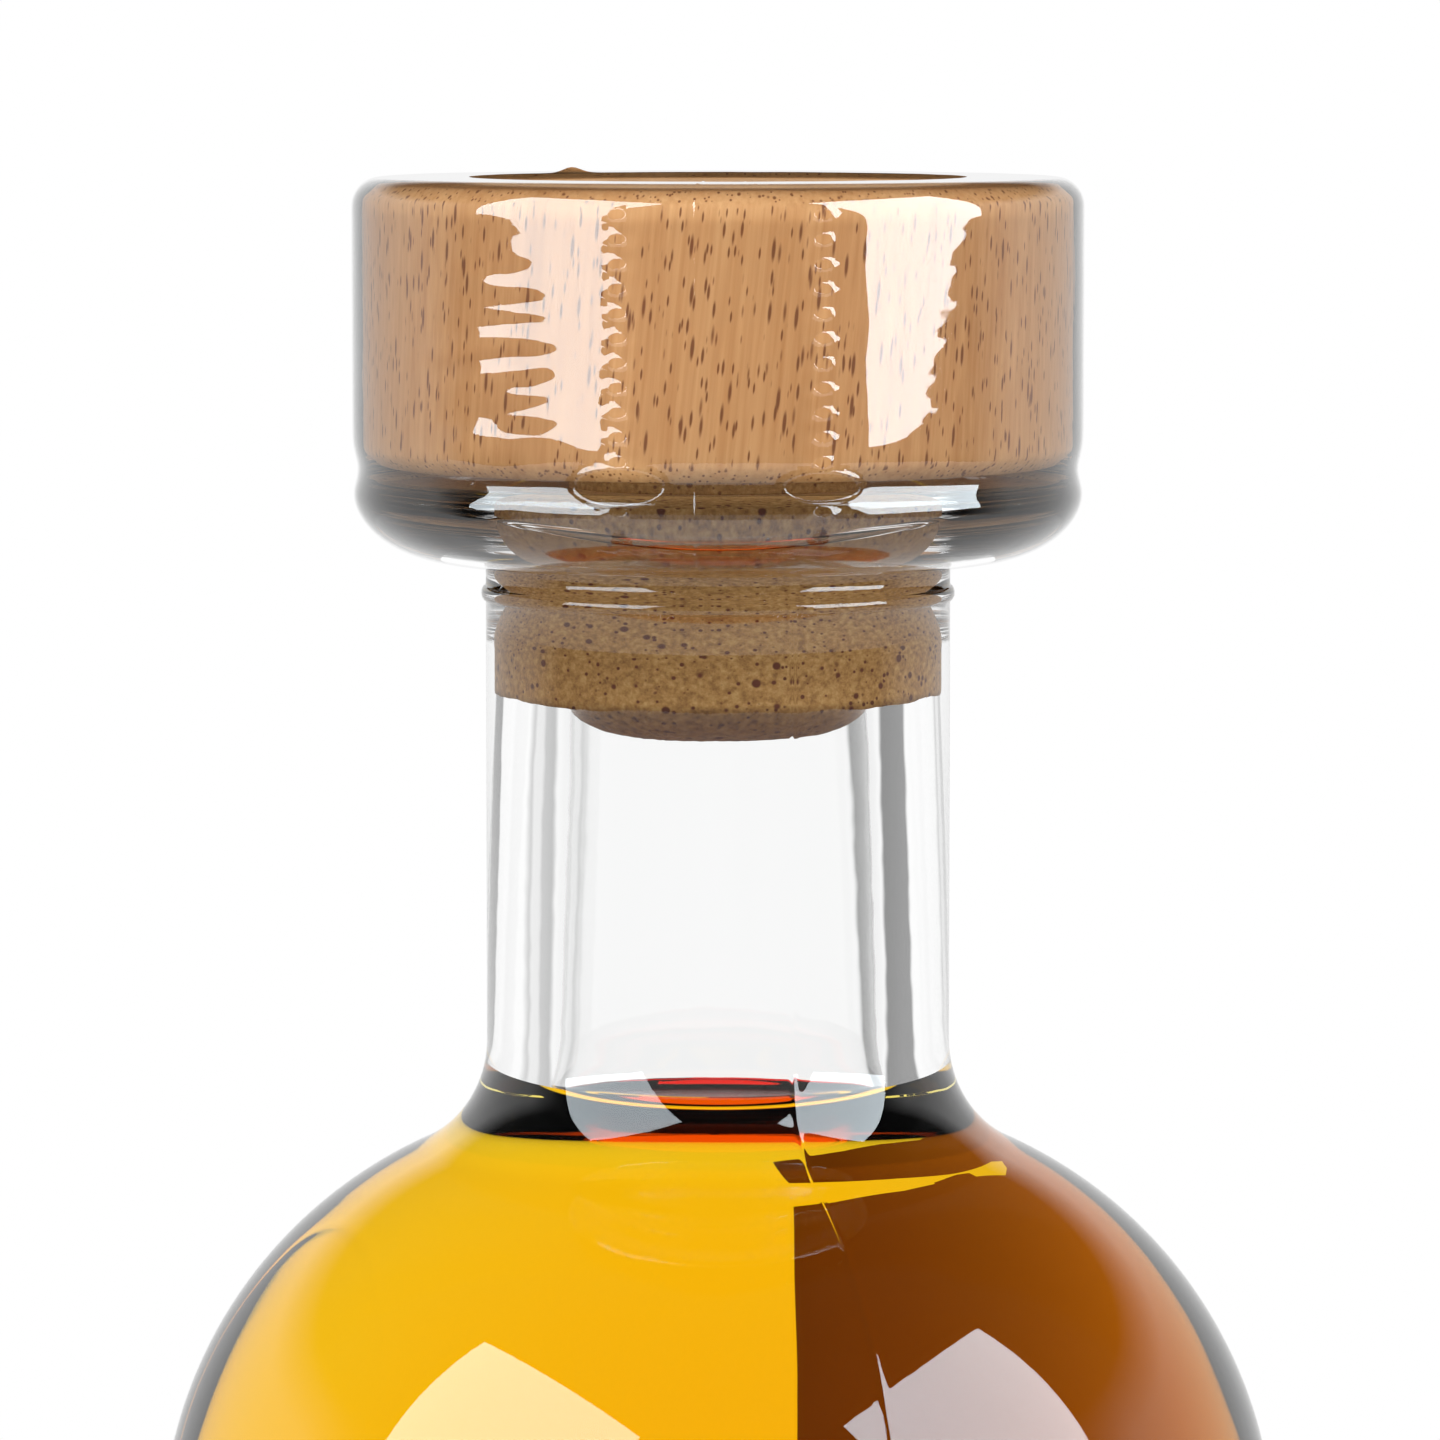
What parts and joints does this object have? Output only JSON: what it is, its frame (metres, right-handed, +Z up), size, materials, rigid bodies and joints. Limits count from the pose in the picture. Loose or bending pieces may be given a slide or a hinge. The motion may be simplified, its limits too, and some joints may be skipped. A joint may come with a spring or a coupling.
{
  "type": "whisky bottle",
  "caption": "Round clear glass spirit bottle, full of amber whisky, closed by a cork stopper with a turned beech head under a clear perforated shrink sleeve.",
  "frame": {"origin": "middle of the standing ring, on the surface that the bottle stands on", "axes": "+Z up the bottle's axis; -Y towards the front, where the sleeve's lap seam and perforations are"},
  "size_m": [0.0748, 0.0748, 0.2716],
  "materials": {
    "glass": "clear flint glass, fire polished",
    "whisky": "clear amber liquid",
    "beech": "turned beech, fine sanded, satin lacquer",
    "cork": "agglomerated cork, wet against the glass",
    "film": "clear shrink film, glossy"
  },
  "bodies": {
    "root": {"glass_bottle": "glass", "whisky": "whisky", "wooden_head": "beech", "cork_plug": "cork", "shrink_sleeve": "film"}
  },
  "joints": []
}
